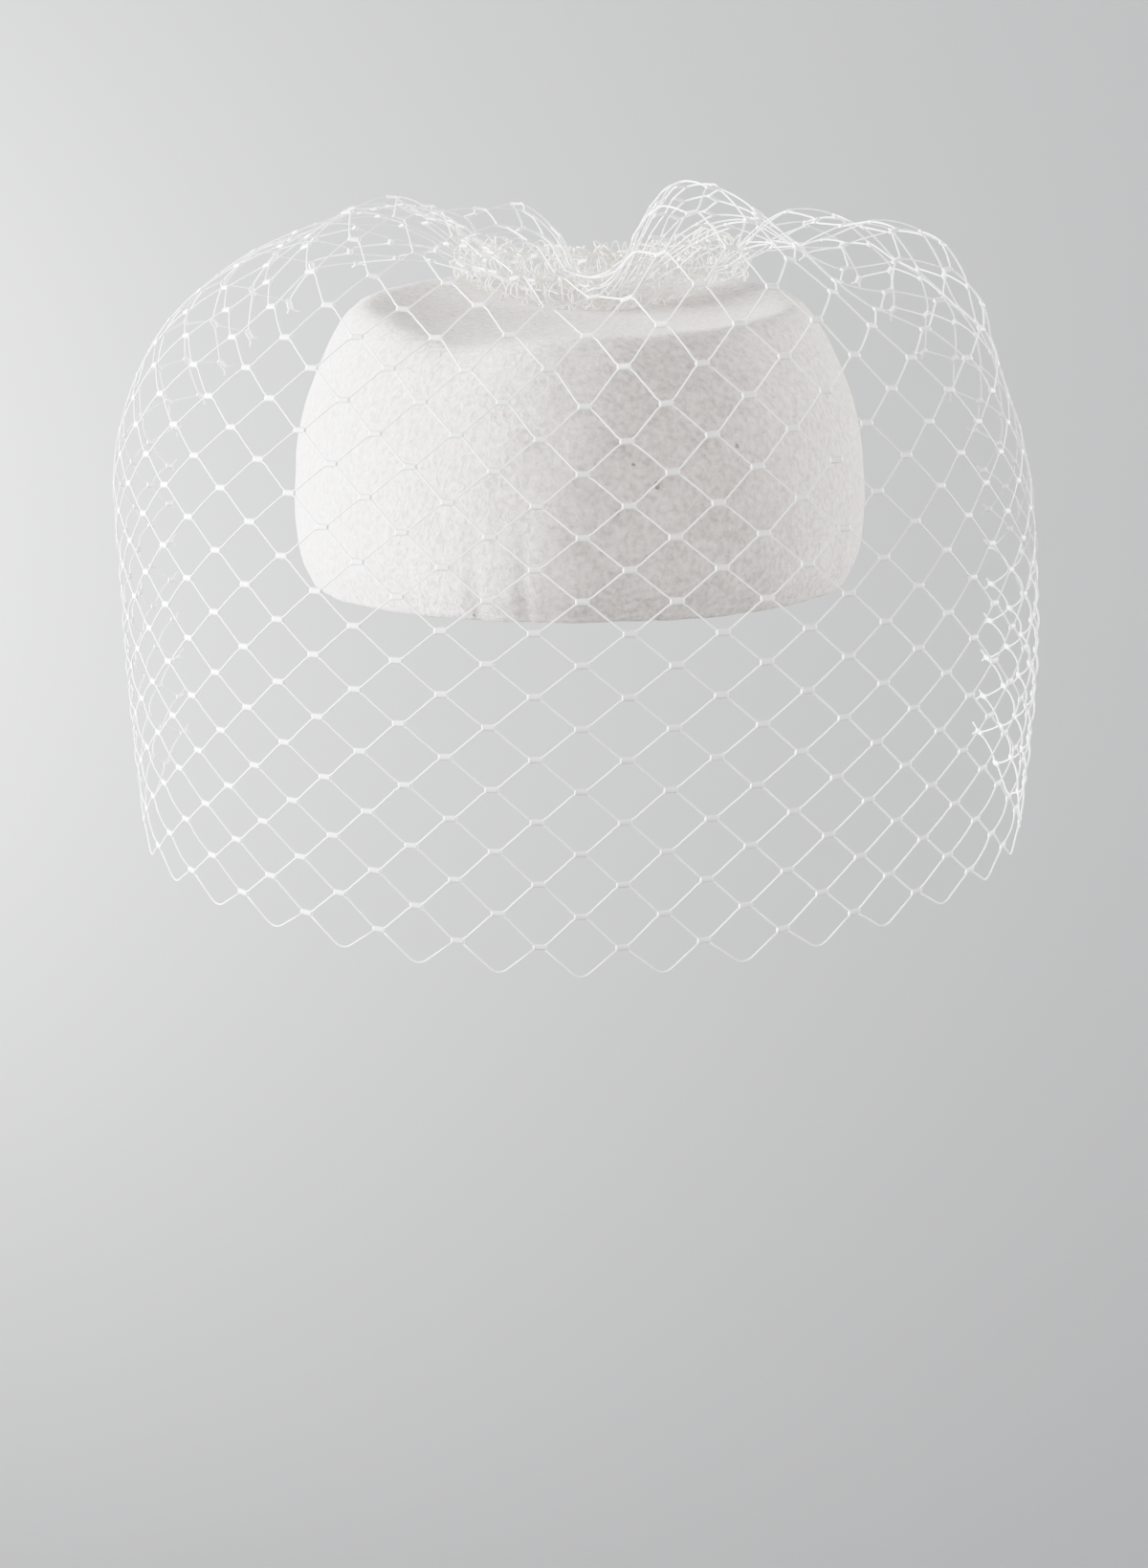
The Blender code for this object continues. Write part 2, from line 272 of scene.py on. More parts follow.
rounding = crown.modifiers.new("rounding", "SUBSURF")
rounding.levels = 1
rounding.render_levels = 1
bpy.ops.object.modifier_apply(modifier=rounding.name)

# The block's tilt, the dent and the gathers are pressed into the felt.
points = mesh_points(crown)
points[:, 2] = crown_height_at(points[:, 0], points[:, 1], points[:, 2] / CROWN_HEIGHT)
turn = np.arctan2(points[:, 0] / CROWN_HALF_WIDTH, -points[:, 1] / CROWN_HALF_DEPTH)
reach = np.hypot(points[:, 0], points[:, 1])
for degrees, depth, height in RIM_GATHERS:
    swing = np.angle(np.exp(1j * (turn - math.radians(degrees))))
    across = np.exp(-((swing * reach / RIM_GATHER_SPREAD) ** 2))
    fade = np.exp(-((points[:, 2] / height) ** 2))
    shrink = 1.0 - depth * across * fade / np.maximum(reach, 0.5 * CROWN_HALF_WIDTH)
    points[:, :2] *= shrink[:, None]
set_mesh_points(crown, points)
steam_lumps = bpy.data.textures.new("steam_lumps", "CLOUDS")
steam_lumps.noise_scale = 0.014
lumps = crown.modifiers.new("lumps", "DISPLACE")
lumps.texture = steam_lumps
lumps.texture_coords = "LOCAL"
lumps.strength = 0.0009
lumps.mid_level = 0.5
bpy.ops.object.modifier_apply(modifier=lumps.name)
wall = crown.modifiers.new("wall", "SOLIDIFY")
wall.thickness = FELT_SHARE_KEPT * FELT
wall.offset = -1.0
bpy.ops.object.modifier_apply(modifier=wall.name)
bpy.ops.object.shade_smooth_by_angle(angle=math.radians(50.0))


# Wool felt: off-white, dead matt, matted from fine fibres into soft lumps of a millimetre or
# two, with faint warm and grey flecks. The lumps' tone is partly the felt's own mottle and partly
# painted shade: it is darker in the hollows between the lumps, where the bump sinks. Its warm cast
# is a painted reflection of warm light thrown onto the felt.
def new_material(name, colour, roughness):
    material = bpy.data.materials.new(name)
    material.use_nodes = True
    shader = material.node_tree.nodes["Principled BSDF"]
    shader.inputs["Base Color"].default_value = (*colour, 1.0)
    shader.inputs["Roughness"].default_value = roughness
    return material, shader


def add_noise(tree, place, scale, detail, roughness=0.5, distortion=0.0):
    noise = tree.nodes.new("ShaderNodeTexNoise")
    noise.inputs["Scale"].default_value = scale
    noise.inputs["Detail"].default_value = detail
    noise.inputs["Roughness"].default_value = roughness
    noise.inputs["Distortion"].default_value = distortion
    tree.links.new(place, noise.inputs["Vector"])
    return noise


def add_ramp(tree, source, stops):
    ramp = tree.nodes.new("ShaderNodeValToRGB")
    while len(ramp.color_ramp.elements) < len(stops):
        ramp.color_ramp.elements.new(0.5)
    for element, (position, colour) in zip(ramp.color_ramp.elements, stops):
        element.position = position
        element.color = (*colour, 1.0)
    tree.links.new(source, ramp.inputs["Fac"])
    return ramp


def add_mix(tree, blend, share, first, second):
    mix = tree.nodes.new("ShaderNodeMix")
    mix.data_type = "RGBA"
    mix.blend_type = blend
    mix.inputs["Factor"].default_value = share
    tree.links.new(first, mix.inputs["A"])
    tree.links.new(second, mix.inputs["B"])
    return mix.outputs["Result"]


def add_bump(tree, source, distance, strength, under=None):
    bump = tree.nodes.new("ShaderNodeBump")
    bump.inputs["Distance"].default_value = distance
    bump.inputs["Strength"].default_value = strength
    tree.links.new(source, bump.inputs["Height"])
    if under is not None:
        tree.links.new(under.outputs["Normal"], bump.inputs["Normal"])
    return bump


felt, shader = new_material("wool_felt", (0.86, 0.85, 0.85), 0.96)
tree = felt.node_tree
place = tree.nodes.new("ShaderNodeTexCoord").outputs["Object"]
lump_noise = add_noise(tree, place, 560.0, 6.0, 0.62, 0.15)
fibre_noise = add_noise(tree, place, 2400.0, 4.0, 0.7, 0.9)
cloud_noise = add_noise(tree, place, 70.0, 3.0)
fleck_noise = add_noise(tree, place, 760.0, 2.0, 0.5, 1.0)
speck_noise = add_noise(tree, place, 280.0, 0.0)
# Painted shade: darker and warmer where the lump bump sinks, on top of the felt's own mottle.
lump_mottle_and_shade_stops = ((0.34, (0.50, 0.43, 0.395)), (0.64, (0.84, 0.79, 0.76)))
lump_mottle_and_shade_tone = add_ramp(tree, lump_noise.outputs["Fac"], lump_mottle_and_shade_stops)
cloud_stops = ((0.35, (0.94, 0.93, 0.925)), (0.65, (1.0, 1.0, 1.0)))
cloud_tone = add_ramp(tree, cloud_noise.outputs["Fac"], cloud_stops)
fleck_tone = add_ramp(
    tree,
    fleck_noise.outputs["Color"],
    ((0.0, (0.90, 0.95, 0.90)), (0.40, (1.0, 1.0, 1.0)), (0.60, (1.0, 1.0, 1.0)), (1.0, (1.0, 0.90, 0.88))),
)
speck_stops = ((0.10, (0.40, 0.35, 0.33)), (0.115, (1.0, 1.0, 1.0)))
speck_tone = add_ramp(tree, speck_noise.outputs["Fac"], speck_stops)
tone = add_mix(tree, "MULTIPLY", 1.0, lump_mottle_and_shade_tone.outputs["Color"], cloud_tone.outputs["Color"])
tone = add_mix(tree, "MULTIPLY", 1.0, tone, fleck_tone.outputs["Color"])
tone = add_mix(tree, "MULTIPLY", 1.0, tone, speck_tone.outputs["Color"])
tree.links.new(tone, shader.inputs["Base Color"])
lump_bump = add_bump(tree, lump_noise.outputs["Fac"], 0.0015, 0.9)
fibre_bump = add_bump(tree, fibre_noise.outputs["Fac"], 0.0004, 0.6, lump_bump)
tree.links.new(fibre_bump.outputs["Normal"], shader.inputs["Normal"])
shader.inputs["Sheen Weight"].default_value = 0.1
shader.inputs["Sheen Roughness"].default_value = 0.55
crown.data.materials.append(felt)
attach(crown, "root")
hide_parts("felt_crown")

# The veil is one strip of stiff ivory net, about 46 cm wide with its cells open. It is puffed
# up over the crown on both sides of a dip in front and hangs as a bell below the rim. Its
# threads are 0.43 mm thick, and every strand between two knots is equally long.
VEIL_HALF_WIDTH = CROWN_HALF_WIDTH + 0.052
VEIL_FRONT_REACH = CROWN_HALF_DEPTH + 0.015
VEIL_BACK_REACH = CROWN_HALF_DEPTH + 0.009
VEIL_RISE = CROWN_HEIGHT + 0.029
VEIL_DROP = 0.090
SEAM_SIDE = 0.09
SEAM_BACK = 0.21
SEAM_HALF_LENGTH = 0.54
SEAM_BOW = 0.37
SEAM_LIFT = 0.0045
# turn is a share of the half turn. Each out is a share of the veil's reach, and each up is a
# share of its rise above the rim, or of its drop below it at the hem and the waist.
VEIL_COLUMNS = (
    "turn", "hem_out", "hem_up", "waist_up", "breast_out", "breast_up",
    "shoulder_out", "shoulder_up", "crest_out", "crest_up", "fall_up",
)
VEIL_SECTIONS = (
    (-1.00, 1.01, -0.76, 0.30, 1.00, 0.36, 0.91, 0.50, 0.76, 0.70, 0.84),
    (-0.80, 0.98, -0.86, -0.05, 1.00, 0.38, 0.92, 0.62, 0.72, 0.86, 0.92),
    (-0.60, 0.95, -0.92, -0.10, 0.97, 0.42, 0.90, 0.65, 0.66, 0.90, 0.95),
    (-0.42, 0.91, -0.97, -0.05, 0.92, 0.42, 0.83, 0.66, 0.60, 0.92, 0.96),
    (-0.26, 0.88, -1.02, 0.00, 0.88, 0.46, 0.76, 0.70, 0.56, 0.92, 0.95),
    (-0.10, 0.86, -1.05, 0.02, 0.87, 0.48, 0.77, 0.68, 0.55, 0.88, 0.90),
    (0.03, 0.86, -1.06, 0.02, 0.87, 0.48, 0.79, 0.64, 0.66, 0.74, 0.78),
    (0.12, 0.86, -1.05, 0.02, 0.88, 0.50, 0.81, 0.76, 0.66, 0.95, 0.95),
    (0.28, 0.88, -1.02, 0.00, 0.90, 0.48, 0.84, 0.72, 0.66, 0.89, 0.92),
    (0.44, 0.90, -0.98, -0.03, 0.92, 0.46, 0.84, 0.65, 0.65, 0.80, 0.88),
    (0.58, 0.94, -0.94, -0.08, 0.94, 0.43, 0.88, 0.67, 0.72, 0.88, 0.94),
    (0.70, 0.96, -0.91, -0.10, 0.95, 0.40, 0.88, 0.66, 0.72, 0.88, 0.94),
    (0.84, 0.99, -0.87, -0.05, 0.96, 0.38, 0.88, 0.64, 0.74, 0.86, 0.92),
    (1.00, 1.01, -0.78, 0.25, 0.98, 0.38, 0.90, 0.54, 0.78, 0.72, 0.84),
)
HALF_TURN = {"hem": 103.0, "waist": 102.0, "breast": 105.0, "shoulder": 119.0, "crest": 138.0}
FALL_SHARE = 0.5
# Soft pleats run out from the seam over the puffs and fade before the brim.
PLEATS = ((4.5, 0.4, 0.0040), (7.0, 2.1, 0.0025))
PLEAT_SHOULDER_SHARE = 0.5
PLEAT_DIP = 0.12
SECTION_POINTS = 161
FORM_SECTIONS = 111
FORM_EDGE = 1.10
STRAND = 0.0143
THREAD = 0.00043
CELL_WIDTH = 0.0231
NET_COLUMNS = 20
NET_ROWS = 44
FIRST_RISE = 0.0088
LEAST_RISE = 0.012
SEAM_SHARE = 0.999
SETTLE_STEPS = 1600
LEVEL_STIFFNESS = 0.5
OPEN_SHARE = 0.55
KNOT_LENGTH = 0.0036
KNOT_WIDTH = 0.0020
KNOT_HOLD = 0.5 * KNOT_LENGTH - THREAD
KNOT_CORNER = 0.5 * KNOT_WIDTH - THREAD
STRAND_FREE = STRAND - 2.0 * KNOT_HOLD
STRAND_SLACK = 1.03
STRAND_LEAN = 0.00035
STRAND_BEND = 0.09
STRAND_SHARES = (0.0, 0.06, 0.15, 0.32, 0.5, 0.68, 0.85, 0.94, 1.0)
HEM_BEND = 0.0036
CUT_END = 0.0024
NET_CLEARANCE = 0.0025


def smooth(places, values, at):
    """A smooth curve through the rows of a table, read at the places asked for."""
    at = np.clip(np.asarray(at, float), places[0], places[-1])
    slopes = np.gradient(values, places, axis=0)
    row = np.clip(np.searchsorted(places, at, side="right") - 1, 0, len(places) - 2)
    step = (places[row + 1] - places[row])[..., None]
    t = (at[..., None] - places[row][..., None]) / step
    start = (2 * t**3 - 3 * t**2 + 1) * values[row] + (t**3 - 2 * t**2 + t) * step * slopes[row]
    end = (3 * t**2 - 2 * t**3) * values[row + 1] + (t**3 - t**2) * step * slopes[row + 1]
    return start + end


def seam_place(turn):
    """A point of the line on the tip where the net is sewn down."""
    x = (SEAM_SIDE + turn * SEAM_HALF_LENGTH) * CROWN_HALF_WIDTH
    y = (SEAM_BACK + SEAM_BOW * turn * turn) * CROWN_HALF_DEPTH
    return np.array((x, y, float(felt_height_over(x, y))))


def veil_section(turn):
    """One section of the veil from hem to seam, as evenly set points, and its length."""
    table = np.array(VEIL_SECTIONS)
    share = dict(zip(VEIL_COLUMNS[1:], smooth(table[:, 0], table[:, 1:], turn)))
    levels = (
        ("hem", share["hem_out"], share["hem_up"] * VEIL_DROP),
        ("waist", 1.0, share["waist_up"] * VEIL_DROP),
        ("breast", share["breast_out"], share["breast_up"] * VEIL_RISE),
        ("shoulder", share["shoulder_out"], share["shoulder_up"] * VEIL_RISE),
        ("crest", share["crest_out"], share["crest_up"] * VEIL_RISE),
    )
    wave = sum(depth * math.sin(math.pi * count * turn + phase) for count, phase, depth in PLEATS)
    wave *= 1.0 - math.exp(-((turn / PLEAT_DIP) ** 2))
    points = []
    for level, out, height in levels:
        if level == "crest":
            height += wave
        elif level == "shoulder":
            out += PLEAT_SHOULDER_SHARE * wave / VEIL_HALF_WIDTH
        angle = turn * math.radians(HALF_TURN[level])
        depth = VEIL_FRONT_REACH if math.cos(angle) > 0 else VEIL_BACK_REACH
        x = out * VEIL_HALF_WIDTH * math.sin(angle)
        points.append((x, -out * depth * math.cos(angle), height))
    seam = seam_place(turn) + (0.0, 0.0, SEAM_LIFT)
    fall = (1.0 - FALL_SHARE) * np.array(points[-1]) + FALL_SHARE * seam
    fall[2] = share["fall_up"] * VEIL_RISE - wave
    points = np.array(points + [fall, seam])
    lengths = np.linalg.norm(np.diff(points, axis=0), axis=1)
    along = np.concatenate([[0.0], np.cumsum(lengths)])
    line = smooth(along, points, np.linspace(0.0, along[-1], 3 * SECTION_POINTS))
    steps = np.linalg.norm(np.diff(line, axis=0), axis=1)
    along = np.concatenate([[0.0], np.cumsum(steps)])
    places = np.linspace(0.0, along[-1], SECTION_POINTS)
    return np.stack([np.interp(places, along, line[:, axis]) for axis in range(3)], axis=1), along[-1]


def read_form(grid, turn, share):
    """Reads a grid of the veil's form at each knot's turn and share of the way up."""
    sections, steps = grid.shape[:2]
    column = np.clip((turn / FORM_EDGE + 1.0) * 0.5 * (sections - 1), 0.0, sections - 1.001)
    row = np.clip(share * (steps - 1), 0.0, steps - 1.001)
    left, low = column.astype(int), row.astype(int)
    across, up = (column - left)[:, None], (row - low)[:, None]
    lower = (1.0 - across) * grid[left, low] + across * grid[left + 1, low]
    upper = (1.0 - across) * grid[left, low + 1] + across * grid[left + 1, low + 1]
    return (1.0 - up) * lower + up * upper


def net_pairs(number, steps):
    """Pairs of knots that lie so many columns and rows apart in the net."""
    pairs = []
    columns, rows = number.shape
    for column_step, row_step in steps:
        for column in range(columns - column_step):
            for row in range(max(0, -row_step), min(rows, rows - row_step)):
                first, second = number[column, row], number[column + column_step, row + row_step]
                if first >= 0 and second >= 0:
                    pairs.append((first, second))
    return np.array(pairs)


def pull_together(points, pairs, length, stiffness, total, count):
    """Adds the moves that bring each pair of knots to its proper distance."""
    gap = points[pairs[:, 1]] - points[pairs[:, 0]]
    distance = np.maximum(np.linalg.norm(gap, axis=1), 1e-9)
    move = (0.5 * stiffness * (distance - length) / distance)[:, None] * gap
    for side, sign in ((0, 1.0), (1, -1.0)):
        np.add.at(total, pairs[:, side], sign * move)
        np.add.at(count, pairs[:, side], stiffness)


def keep_off_felt(points, clearance):
    """Brings what lies in the felt out of it, up or sideways, whichever is nearer."""
    rows = np.array(((RIM_OUT, 0.0), *((out, up) for up, out in CROWN_PROFILE[:13])))
    x, y, z = points.T
    top = felt_height_over(x, y) + clearance
    level = np.clip(z / (CROWN_HEIGHT + CROWN_TILT * y / CROWN_HALF_DEPTH), 0.0, 1.0)
    spread = np.interp(level, rows[:, 1], rows[:, 0])
    wide, deep = CROWN_HALF_WIDTH + clearance, CROWN_HALF_DEPTH + clearance
    reach = np.hypot(x / wide, y / deep)
    inside = (reach < spread) & (z > 0.0) & (z < top)
    sideways = inside & ((spread - reach) * wide < top - z)
    upward = inside & ~sideways
    moved = points.copy()
    moved[sideways, :2] *= (spread[sideways] / np.maximum(reach[sideways], 1e-6))[:, None]
    moved[upward, 2] = top[upward]
    return moved


def settle_net(number, column, row):
    """Slides the knots over the veil's form until all the strands are equally long.

    A knot that reaches the seam stays there, so that what net is to spare goes into the gather.
    """
    turns = np.linspace(-FORM_EDGE, FORM_EDGE, FORM_SECTIONS)
    sections = [veil_section(turn) for turn in turns]
    form = np.array([line for line, length in sections])
    lengths = np.array([length for line, length in sections])
    across_form = np.gradient(form, turns, axis=0)
    up_form = np.gradient(form, np.linspace(0.0, 1.0, SECTION_POINTS), axis=1)
    strands = net_pairs(number, ((1, 1), (1, -1)))
    straight = net_pairs(number, ((2, 2), (2, -2)))
    level = net_pairs(number, ((2, 0),))
    upright = net_pairs(number, ((0, 2),))
    turn = column / NET_COLUMNS - 1.0
    share = np.clip(row * FIRST_RISE / np.interp(turn, turns, lengths), 0.0, 1.0)
    for _ in range(SETTLE_STEPS):
        points = read_form(form, turn, share)
        free = share < SEAM_SHARE
        total = np.zeros_like(points)
        count = np.full(len(points), 1e-9)
        for pairs, length, stiffness in (
            (strands, STRAND, 1.0),
            (straight, 2.0 * STRAND, 0.25),
            (level, CELL_WIDTH, LEVEL_STIFFNESS),
        ):
            gap = np.linalg.norm(points[pairs[:, 1]] - points[pairs[:, 0]], axis=1)
            first, second = free[pairs[:, 0]], free[pairs[:, 1]]
            counts = (first & second) | ((first ^ second) & (gap > length))
            if pairs is level:
                counts = first & second & ((gap > length) | (share[pairs[:, 0]] < OPEN_SHARE))
            pull_together(points, pairs[counts], length, stiffness, total, count)
        move = 1.7 * total / count[:, None]
        across, up = read_form(across_form, turn, share), read_form(up_form, turn, share)
        a, b, c = (across**2).sum(axis=1), (across * up).sum(axis=1), (up**2).sum(axis=1)
        along_across, along_up = (across * move).sum(axis=1), (up * move).sum(axis=1)
        size = a * c - b * b + 1e-12
        turn_move = (c * along_across - b * along_up) / size
        share_move = (a * along_up - b * along_across) / size
        below, above = upright.T
        rise = np.linalg.norm(points[above] - points[below], axis=1)
        rise = np.where(share[above] > share[below], rise, -rise)
        lack = np.where(share[above] < 0.97, np.clip(LEAST_RISE - rise, 0.0, 0.02), 0.0)
        lack *= 0.25 / np.interp(turn[below], turns, lengths)
        np.add.at(share_move, above, lack)
        np.add.at(share_move, below, -lack)
        turn = np.clip(turn + np.clip(turn_move, -0.02, 0.02), -FORM_EDGE, FORM_EDGE)
        share = np.clip(share + np.clip(share_move, -0.02, 0.02), 0.0, 1.0)
        share[row == 0] = 0.0
        share[row == 1] = np.maximum(share[row == 1], 0.01)
    free = share < SEAM_SHARE
    shown = strands[free[strands[:, 0]] | free[strands[:, 1]]]
    points = keep_off_felt(read_form(form, turn, share), NET_CLEARANCE)
    return points, free, shown


net_size = (2 * NET_COLUMNS + 1, NET_ROWS + 1)
knot_number = -np.ones(net_size, int)
is_knot = np.add.outer(np.arange(net_size[0]), np.arange(net_size[1])) % 2 == 0
knot_column, knot_row = np.nonzero(is_knot)
knot_number[is_knot] = np.arange(len(knot_row))
knots, knot_free, strands = settle_net(knot_number, knot_column, knot_row)


def net_axes(points, strands, row):
    """At each knot: the way across the net, the way up it and the way out of it."""
    across = np.zeros_like(points)
    upward = np.zeros_like(points)
    rising = row[strands[:, 1]] > row[strands[:, 0]]
    gap = points[strands[:, 1]] - points[strands[:, 0]]
    for side in (0, 1):
        np.add.at(across, strands[:, side], gap)
        np.add.at(upward, strands[:, side], np.where(rising, 1.0, -1.0)[:, None] * gap)
    across /= np.maximum(np.linalg.norm(across, axis=1), 1e-9)[:, None]
    outward = np.cross(across, upward)
    outward /= np.maximum(np.linalg.norm(outward, axis=1), 1e-9)[:, None]
    return across, np.cross(outward, across), outward


def strand_curve(start, end, ways, outs, bulge_way, length, shares):
    """A strand that leaves and enters its knots sideways, follows the puff and bows when slack."""
    chord = end - start
    distance = max(np.linalg.norm(chord), 1e-6)
    spare = max(0.0, length / distance - STRAND_SLACK)
    bow = min(distance * math.sqrt(0.375 * spare), 0.45 * length)
    round_over = float(np.clip(np.dot(outs[1] - outs[0], chord) / 8.0, -0.2 * distance, 0.2 * distance))
    if abs(round_over) > bow:
        bow = round_over
    way = bulge_way - chord * np.dot(bulge_way, chord) / distance**2
    way /= max(np.linalg.norm(way), 1e-9)
    share = np.array(shares)[:, None]
    leave = share / STRAND_BEND * np.exp(1.0 - share / STRAND_BEND)
    enter = (1.0 - share) / STRAND_BEND * np.exp(1.0 - (1.0 - share) / STRAND_BEND)
    lean = STRAND_LEAN * (leave * (ways[0] - chord / distance) - enter * (ways[1] - chord / distance))
    lean *= np.minimum(1.0, 8.0 * share * (1.0 - share))
    return start + share * chord + lean + 4.0 * bow * share * (1.0 - share) * way


def hem_loop(start, low, end):
    """The thread that runs from one knot down round the hem and up to the next knot."""
    down, up = low - start, end - low
    into = low - HEM_BEND * down / np.linalg.norm(down)
    out = low + HEM_BEND * up / np.linalg.norm(up)
    share = np.linspace(0.0, 1.0, 8)[:, None]
    bend = (1.0 - share) ** 2 * into + 2.0 * share * (1.0 - share) * low + share**2 * out
    return np.concatenate([[start], [0.5 * (start + into)], bend, [0.5 * (out + end)], [end]])


def tubes(name, lines, thickness):
    """Round threads along lines of points, as one mesh with closed ends."""
    curve = bpy.data.curves.new(name, "CURVE")
    curve.dimensions = "3D"
    curve.bevel_depth = 0.5 * thickness
    curve.bevel_resolution = 1
    curve.use_fill_caps = True
    for line in lines:
        spline = curve.splines.new("POLY")
        spline.points.add(len(line) - 1)
        corners = np.concatenate([line, np.ones((len(line), 1))], axis=1)
        spline.points.foreach_set("co", corners.ravel())
    thread = bpy.data.objects.new(name, curve)
    bpy.context.scene.collection.objects.link(thread)
    bpy.ops.object.select_all(action="DESELECT")
    thread.select_set(True)
    bpy.context.view_layer.objects.active = thread
    bpy.ops.object.convert(target="MESH")
    bpy.ops.object.mode_set(mode="EDIT")
    bpy.ops.mesh.select_all(action="SELECT")
    bpy.ops.mesh.remove_doubles(threshold=0.00001)
    bpy.ops.mesh.normals_make_consistent(inside=False)
    bpy.ops.object.mode_set(mode="OBJECT")
    bpy.ops.object.shade_smooth()
    return bpy.context.object


across, upward, outward = net_axes(knots, strands, knot_row)
lines = []
for left, right in strands:
    if knot_row[left] == 0 or knot_row[right] == 0:
        continue
    corner = KNOT_CORNER if knot_row[right] > knot_row[left] else -KNOT_CORNER
    start = knots[left] + KNOT_HOLD * across[left] + corner * upward[left]
    end = knots[right] - KNOT_HOLD * across[right] - corner * upward[right]
    bulge = outward[left] + outward[right]
    ways, outs = (across[left], across[right]), (outward[left], outward[right])
    lines.append(strand_curve(start, end, ways, outs, bulge, STRAND_FREE, STRAND_SHARES))
for low in np.flatnonzero(knot_row == 0):
    left, right = strands[strands[:, 1] == low, 0], strands[strands[:, 0] == low, 1]
    if len(left) and len(right):
        start = knots[left[0]] + KNOT_HOLD * across[left[0]] - KNOT_CORNER * upward[left[0]]
        end = knots[right[0]] - KNOT_HOLD * across[right[0]] - KNOT_CORNER * upward[right[0]]
        lines.append(hem_loop(start, knots[low], end))
# At the strip's two side edges the cut threads stick out a few millimetres past their knots.
for edge, side in ((0, -1.0), (2 * NET_COLUMNS, 1.0)):
    for knot in np.flatnonzero((knot_column == edge) & (knot_row > 0) & knot_free):
        for climb in (-1.0, 1.0):
            start = knots[knot] + side * KNOT_HOLD * across[knot] + climb * KNOT_CORNER * upward[knot]
            length = CUT_END * (1.0 + 0.3 * math.sin(2.4 * knot + climb))
            way = 0.80 * side * across[knot] + 0.55 * climb * upward[knot] - 0.2 * outward[knot]
            middle = start + 0.5 * length * (side * across[knot] + 0.3 * climb * upward[knot])
            lines.append(np.array((start, middle, start + length * way)))
lines = [keep_off_felt(line, THREAD) for line in lines]
veil_threads = tubes("veil_threads", lines, THREAD)

# Ivory net: stiff thread with a soft sheen, whiter where it is bound into a knot.
ivory, shader = new_material("ivory_net", (0.93, 0.925, 0.89), 0.42)
tree = ivory.node_tree
place = tree.nodes.new("ShaderNodeTexCoord").outputs["Object"]
thread_noise = add_noise(tree, place, 900.0, 3.0)
thread_stops = ((0.3, (0.92, 0.91, 0.87)), (0.7, (0.99, 0.985, 0.97)))
thread_tone = add_ramp(tree, thread_noise.outputs["Fac"], thread_stops)
tree.links.new(thread_tone.outputs["Color"], shader.inputs["Base Color"])
thread_bump = add_bump(tree, thread_noise.outputs["Fac"], 0.0001, 0.4)
tree.links.new(thread_bump.outputs["Normal"], shader.inputs["Normal"])
shader.inputs["Sheen Weight"].default_value = 0.2
veil_threads.data.materials.append(ivory)
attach(veil_threads, "root")
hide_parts("veil_net")

# Each knot is a flat ribbed bar, 3.6 mm wide and 2 mm high, in which the two threads that meet
# there are bound round four times. It lies level across the net.
KNOT_THICKNESS = 0.0009
KNOT_SIDES = 6
KNOT_WAIST = 0.78
KNOT_TURNS = 4
KNOT_END = 0.82
bpy.ops.object.select_all(action="DESELECT")
bpy.ops.mesh.primitive_circle_add(vertices=KNOT_SIDES, radius=1.0, fill_type="NGON", location=(0.0, 0.0, 0.0))
one_knot = bpy.context.object
one_knot.name = "one_knot"
bpy.ops.object.mode_set(mode="EDIT")
bpy.ops.mesh.select_all(action="SELECT")
bpy.ops.transform.resize(value=(0.5 * KNOT_THICKNESS * KNOT_END, 0.5 * KNOT_WIDTH * KNOT_END, 1.0))
bpy.ops.transform.translate(value=(0.0, 0.0, -0.5 * KNOT_LENGTH))
size = KNOT_END
for ring in range(1, 2 * KNOT_TURNS + 1):
    wanted = 1.0 if ring % 2 else KNOT_WAIST
    if ring == 2 * KNOT_TURNS:
        wanted = KNOT_END
    step = KNOT_LENGTH / (2 * KNOT_TURNS)
    bpy.ops.mesh.extrude_region_move(TRANSFORM_OT_translate={"value": (0.0, 0.0, step)})
    bpy.ops.transform.resize(value=(wanted / size, wanted / size, 1.0))
    size = wanted
bpy.ops.mesh.select_all(action="SELECT")
bpy.ops.mesh.normals_make_consistent(inside=False)
bpy.ops.object.mode_set(mode="OBJECT")


def copies_of(model, name, centres, long_ways, flat_ways):
    """Copies of a small model, its Z laid along each long way and its X along each flat way."""
    corners = mesh_points(model)
    faces = [tuple(face.vertices) for face in model.data.polygons]
    all_corners = []
    all_faces = []
    for centre, long_way, flat_way in zip(centres, long_ways, flat_ways):
        side_way = np.cross(long_way, flat_way)
        base = len(all_corners) * len(corners)
        all_corners.append(centre + corners @ np.array((flat_way, side_way, long_way)))
        all_faces += [tuple(base + corner for corner in face) for face in faces]
    mesh = bpy.data.meshes.new(name)
    mesh.from_pydata(np.concatenate(all_corners).tolist(), [], all_faces)
    thing = bpy.data.objects.new(name, mesh)
    bpy.context.scene.collection.objects.link(thing)
    bpy.ops.object.select_all(action="DESELECT")
    thing.select_set(True)
    bpy.context.view_layer.objects.active = thing
    bpy.ops.object.mode_set(mode="EDIT")
    bpy.ops.mesh.select_all(action="SELECT")
    bpy.ops.mesh.normals_make_consistent(inside=False)
    bpy.ops.object.mode_set(mode="OBJECT")
    bpy.ops.object.shade_smooth()
    return thing


has_knot = (knot_row > 0) & knot_free
veil_knots = copies_of(one_knot, "veil_knots", knots[has_knot], across[has_knot], outward[has_knot])
knot_ivory, shader = new_material("ivory_knot", (0.95, 0.95, 0.93), 0.5)
tree = knot_ivory.node_tree
place = tree.nodes.new("ShaderNodeTexCoord").outputs["Object"]
knot_noise = add_noise(tree, place, 1500.0, 2.0)
knot_stops = ((0.3, (0.94, 0.94, 0.91)), (0.7, (0.99, 0.99, 0.98)))
knot_tone = add_ramp(tree, knot_noise.outputs["Fac"], knot_stops)
tree.links.new(knot_tone.outputs["Color"], shader.inputs["Base Color"])
veil_knots.data.materials.append(knot_ivory)
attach(veil_knots, "root")
